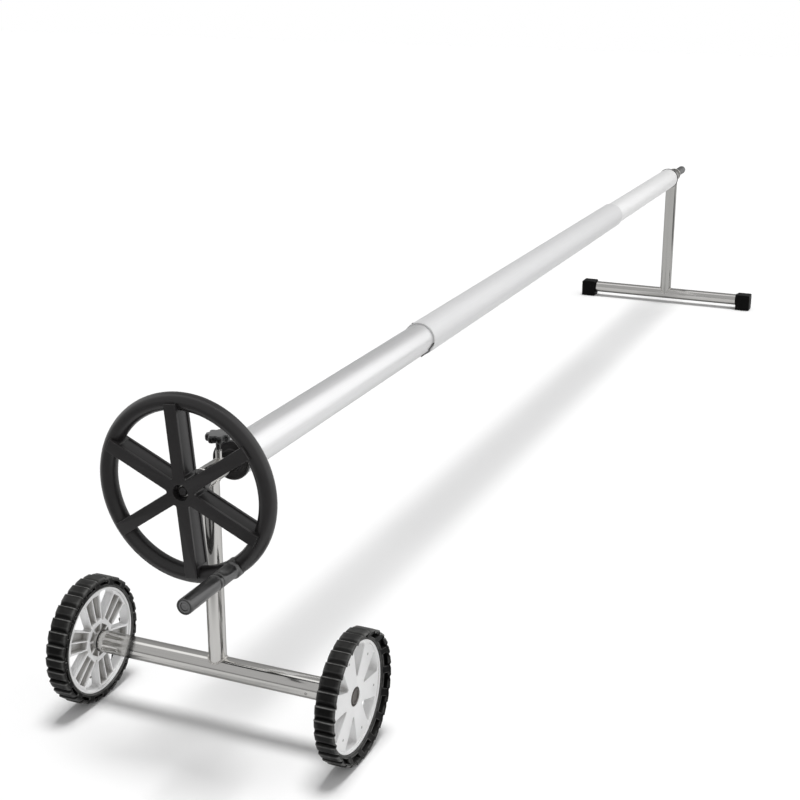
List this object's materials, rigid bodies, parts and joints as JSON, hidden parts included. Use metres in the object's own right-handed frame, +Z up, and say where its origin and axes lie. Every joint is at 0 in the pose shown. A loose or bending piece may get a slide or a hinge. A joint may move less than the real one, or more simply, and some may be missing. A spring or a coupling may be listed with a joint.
{
  "type": "pool cover reel",
  "caption": "Telescoping roller tube on a wheeled stand with a spoked hand wheel, crank and lock knob, and a low foot stand at the far end.",
  "frame": {"origin": "on the ground, under the middle of the reel's overall box", "axes": "+Z up, +Y along the roller from the crank end to the far foot, +X along the road wheels' axle"},
  "size_m": [0.682, 3.9875, 0.6845],
  "materials": {
    "polished_stainless": "polished stainless tube with a fine drawn line along it",
    "satin_aluminium": "satin anodised aluminium, pale silver",
    "black_moulding": "black moulded plastic with a fine grain, semi-matt",
    "black_knob": "smoother black plastic, soft gloss",
    "dark_grip": "dark grey soft grip",
    "tyre_rubber": "black moulded rubber tread",
    "pale_hub": "pale grey moulded plastic, slight gloss",
    "nylon_bush": "off-white nylon",
    "axle_cap_grey": "grey-brown push-on cap"
  },
  "bodies": {
    "near_stand": {"axle_tube": "polished_stainless", "near_post": "polished_stainless", "near_bearing_sleeve": "polished_stainless", "near_front_bush": "nylon_bush", "near_rear_bush": "nylon_bush", "lock_boss": "polished_stainless", "axle_plug_left": "black_moulding", "axle_plug_right": "black_moulding", "axle_washer_left": "polished_stainless", "axle_washer_right": "polished_stainless", "stub_axle_left": "polished_stainless", "stub_axle_right": "polished_stainless", "axle_cap_left": "axle_cap_grey", "axle_cap_right": "axle_cap_grey"},
    "left_wheel": {"tyre_left": "tyre_rubber", "wheel_hub_left": "pale_hub", "wheel_bush_left": "nylon_bush"},
    "right_wheel": {"tyre_right": "tyre_rubber", "wheel_hub_right": "pale_hub", "wheel_bush_right": "nylon_bush"},
    "near_reel": {"hand_wheel": "black_moulding", "hub_bolt": "black_knob", "hub_bolt_washer": "polished_stainless", "front_shaft_washer": "polished_stainless", "rear_shaft_washer": "polished_stainless", "near_tube_plug": "black_moulding", "drive_pin": "polished_stainless", "drive_shaft": "polished_stainless", "near_tube": "satin_aluminium", "crank_base": "black_moulding", "crank_spindle": "polished_stainless"},
    "crank": {"crank_grip": "dark_grip"},
    "lock_screw": {"lock_stud": "polished_stainless"},
    "knob": {"lock_knob": "black_knob"},
    "centre_section": {"centre_tube": "satin_aluminium", "near_seam_bush": "black_moulding", "far_seam_bush": "black_moulding"},
    "far_section": {"far_tube": "satin_aluminium", "far_tube_plug": "black_moulding", "far_drive_pin": "polished_stainless", "far_shaft": "polished_stainless", "far_shaft_washer": "polished_stainless", "retaining_collar": "polished_stainless", "carry_grip": "dark_grip"},
    "far_stand": {"foot_bar": "polished_stainless", "far_post": "polished_stainless", "far_bearing_sleeve": "polished_stainless", "far_inner_bush": "nylon_bush", "far_outer_bush": "nylon_bush", "foot_cap_left": "black_moulding", "foot_cap_right": "black_moulding"}
  },
  "joints": [
    {"name": "left_wheel_spin", "type": "hinge", "parent": "near_stand", "child": "left_wheel", "pos_m": [-0.28, -1.74125, 0.125], "axis": [1, 0, 0], "continuous": true},
    {"name": "right_wheel_spin", "type": "hinge", "parent": "near_stand", "child": "right_wheel", "pos_m": [0.28, -1.74125, 0.125], "axis": [1, 0, 0], "continuous": true},
    {"name": "reel_spin", "type": "hinge", "parent": "near_stand", "child": "near_reel", "pos_m": [0, -1.74125, 0.509], "axis": [0, 1, 0], "continuous": true},
    {"name": "crank_grip_spin", "type": "hinge", "parent": "near_reel", "child": "crank", "pos_m": [0.09405, -1.93725, 0.37956], "axis": [0, 1, 0], "continuous": true},
    {"name": "lock_screw_lift", "type": "slide", "parent": "near_stand", "child": "lock_screw", "axis": [0, 0, 1], "range_m": [0, 0.003]},
    {"name": "knob_turn", "type": "hinge", "parent": "lock_screw", "child": "knob", "pos_m": [0, -1.70725, 0.569], "axis": [0, 0, 1], "range_deg": [0, 1080]},
    {"name": "near_tube_slide", "type": "slide", "parent": "near_reel", "child": "centre_section", "axis": [0, 1, 0], "range_m": [-0.55, 0.15]},
    {"name": "far_tube_slide", "type": "slide", "parent": "centre_section", "child": "far_section", "axis": [0, 1, 0], "range_m": [-0.5, 0.15]},
    {"name": "far_stand_swivel", "type": "hinge", "parent": "far_section", "child": "far_stand", "pos_m": [0, 1.81875, 0.509], "axis": [0, 1, 0], "continuous": true}
  ],
  "couplings": [
    {"joint": "lock_screw_lift", "follows": "knob_turn", "m_per_rad": 0.00015915},
    {"joint": "far_stand_swivel", "follows": "reel_spin", "ratio": -1}
  ]
}
